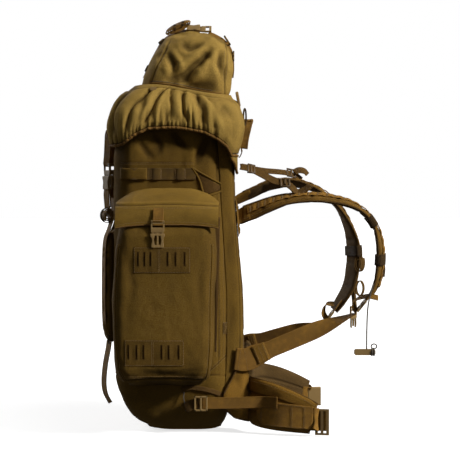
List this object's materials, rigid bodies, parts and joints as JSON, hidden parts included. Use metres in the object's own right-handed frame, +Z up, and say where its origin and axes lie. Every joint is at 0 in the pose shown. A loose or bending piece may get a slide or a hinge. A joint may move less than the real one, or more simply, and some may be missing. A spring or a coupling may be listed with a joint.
{
  "type": "hunting backpack",
  "caption": "Framed hunting backpack with gathered hinged lid, two flapped side pockets, swinging padded shoulder straps and an open padded hip belt.",
  "frame": {"origin": "middle of the flat base, on the ground", "axes": "+Z up, +X from the pack towards the wearer, +Y towards the wearer's left"},
  "size_m": [0.616, 0.5768, 0.8888],
  "materials": {
    "lid_fabric": "matte",
    "pack_fabric": "matte",
    "pocket_fabric": "matte",
    "binding": "matte",
    "webbing": "matte",
    "padding": "matte",
    "buckle_plastic": "satin",
    "frame_plastic": "matte",
    "stay_aluminium": "satin",
    "cord": "matte"
  },
  "bodies": {
    "pack": {"main_bag": "pack_fabric", "base_patch": "pack_fabric", "frame_sheet": "frame_plastic", "stay_R": "stay_aluminium", "stay_L": "stay_aluminium", "back_panel": "padding", "yoke": "webbing", "lumbar_pad": "padding", "lid_rear_panel": "lid_fabric", "front_pocket": "pack_fabric", "side_pocket_R": "pocket_fabric", "side_pocket_L": "pocket_fabric", "slot_panel_upper_R": "pocket_fabric", "slot_panel_upper_L": "pocket_fabric", "slot_panel_lower_R": "pocket_fabric", "slot_panel_lower_L": "pocket_fabric", "molle_band_R": "webbing", "molle_band_L": "webbing", "pocket_buckle_female_R": "buckle_plastic", "pocket_buckle_female_L": "buckle_plastic", "lid_webbing_R": "webbing", "lid_webbing_L": "webbing", "lid_buckle_female_R": "buckle_plastic", "lid_buckle_female_L": "buckle_plastic", "front_strap_tail": "webbing"},
    "lid": {"lid_hood": "lid_fabric", "lid_pocket": "lid_fabric", "hem_binding": "binding", "lash_strap_front": "webbing", "lash_strap_rear": "webbing", "lash_buckle_female": "buckle_plastic", "lid_rear_strap": "webbing"},
    "zip_slider": {"lid_zip_slider": "buckle_plastic"},
    "lash_plug": {"lash_buckle_male": "buckle_plastic"},
    "handle": {"grab_handle": "webbing"},
    "lid_plug_R": {"lid_buckle_male_R": "buckle_plastic"},
    "lid_plug_L": {"lid_buckle_male_L": "buckle_plastic"},
    "flap_R": {"pocket_flap_R": "pocket_fabric"},
    "flap_L": {"pocket_flap_L": "pocket_fabric"},
    "pocket_plug_R": {"pocket_buckle_male_R": "buckle_plastic"},
    "pocket_plug_L": {"pocket_buckle_male_L": "buckle_plastic"},
    "harness_R": {"shoulder_strap_R": "padding", "lower_webbing_R": "webbing", "load_lifter_R": "webbing", "whistle_cord": "cord", "whistle": "buckle_plastic"},
    "harness_L": {"shoulder_strap_L": "padding", "lower_webbing_L": "webbing", "load_lifter_L": "webbing"},
    "strap_lock_R": {"strap_lock_R": "buckle_plastic"},
    "strap_lock_L": {"strap_lock_L": "buckle_plastic"},
    "sternum_plug": {"sternum_plug_L": "buckle_plastic"},
    "wing_R": {"hip_wing_R": "padding", "stabiliser_R": "webbing"},
    "wing_L": {"hip_wing_L": "padding", "stabiliser_L": "webbing"},
    "belt_slider": {"belt_slider_R": "buckle_plastic"},
    "belt_buckle": {"belt_buckle_L": "buckle_plastic"},
    "stabiliser_lock_R": {"stabiliser_lock_R": "buckle_plastic"},
    "stabiliser_lock_L": {"stabiliser_lock_L": "buckle_plastic"}
  },
  "joints": [
    {"name": "lid_hinge", "type": "hinge", "parent": "pack", "child": "lid", "pos_m": [0.1285, 0, 0.605], "axis": [0, 1, 0], "range_deg": [0, 90]},
    {"name": "zip_slide", "type": "slide", "parent": "lid", "child": "zip_slider", "axis": [1, 0, 0], "range_m": [0, 0.105]},
    {"name": "lash_release", "type": "slide", "parent": "lid", "child": "lash_plug", "axis": [1, 0, 0], "range_m": [0, 0.02]},
    {"name": "handle_fold", "type": "hinge", "parent": "lid", "child": "handle", "pos_m": [0.1395, 0, 0.619], "axis": [0, 1, 0], "range_deg": [0, 60]},
    {"name": "lid_release_R", "type": "slide", "parent": "lid", "child": "lid_plug_R", "axis": [0, 0, 1], "range_m": [0, 0.02]},
    {"name": "flap_hinge_R", "type": "hinge", "parent": "pack", "child": "flap_R", "pos_m": [-0.023, -0.1715, 0.531], "axis": [-1, 0, 0], "range_deg": [0, 75]},
    {"name": "pocket_release_R", "type": "slide", "parent": "flap_R", "child": "pocket_plug_R", "axis": [0, 0, 1], "range_m": [0, 0.02]},
    {"name": "strap_swing_R", "type": "hinge", "parent": "pack", "child": "harness_R", "pos_m": [0.1445, -0.06, 0.58], "axis": [0, -0.2095, -0.9778], "range_deg": [-10, 45]},
    {"name": "strap_lock_tilt_R", "type": "hinge", "parent": "harness_R", "child": "strap_lock_R", "pos_m": [0.40641, -0.117, 0.28607], "axis": [0, -1, 0], "range_deg": [0, 35]},
    {"name": "belt_wing_R", "type": "hinge", "parent": "pack", "child": "wing_R", "pos_m": [0.154, -0.101, 0.07], "axis": [0, 0, -1], "range_deg": [-8, 20], "deforming": ["stabiliser_R"]},
    {"name": "stabiliser_lock_tilt_R", "type": "hinge", "parent": "pack", "child": "stabiliser_lock_R", "pos_m": [0.032, -0.168, 0.068], "axis": [0, 0, -1], "range_deg": [0, 35]},
    {"name": "lid_release_L", "type": "slide", "parent": "lid", "child": "lid_plug_L", "axis": [0, 0, 1], "range_m": [0, 0.02]},
    {"name": "flap_hinge_L", "type": "hinge", "parent": "pack", "child": "flap_L", "pos_m": [-0.023, 0.1715, 0.531], "axis": [1, 0, 0], "range_deg": [0, 75]},
    {"name": "pocket_release_L", "type": "slide", "parent": "flap_L", "child": "pocket_plug_L", "axis": [0, 0, 1], "range_m": [0, 0.02]},
    {"name": "strap_swing_L", "type": "hinge", "parent": "pack", "child": "harness_L", "pos_m": [0.1445, 0.06, 0.58], "axis": [0, -0.2095, 0.9778], "range_deg": [-10, 45]},
    {"name": "strap_lock_tilt_L", "type": "hinge", "parent": "harness_L", "child": "strap_lock_L", "pos_m": [0.34855, 0.1, 0.24497], "axis": [0, -1, 0], "range_deg": [0, 35]},
    {"name": "belt_wing_L", "type": "hinge", "parent": "pack", "child": "wing_L", "pos_m": [0.154, 0.101, 0.07], "axis": [0, 0, 1], "range_deg": [-8, 20], "deforming": ["stabiliser_L"]},
    {"name": "stabiliser_lock_tilt_L", "type": "hinge", "parent": "pack", "child": "stabiliser_lock_L", "pos_m": [0.032, 0.168, 0.068], "axis": [0, 0, 1], "range_deg": [0, 35]},
    {"name": "sternum_swing", "type": "hinge", "parent": "harness_L", "child": "sternum_plug", "pos_m": [0.395, 0.1, 0.311], "axis": [0, -1, 0], "range_deg": [-10, 40]},
    {"name": "belt_slider_turn", "type": "hinge", "parent": "wing_R", "child": "belt_slider", "pos_m": [0.29294, -0.19659, 0.031], "axis": [0, 0, -1], "range_deg": [-15, 25]},
    {"name": "belt_buckle_turn", "type": "hinge", "parent": "wing_L", "child": "belt_buckle", "pos_m": [0.29294, 0.19659, 0.034], "axis": [0, 0, 1], "range_deg": [-15, 25]}
  ]
}
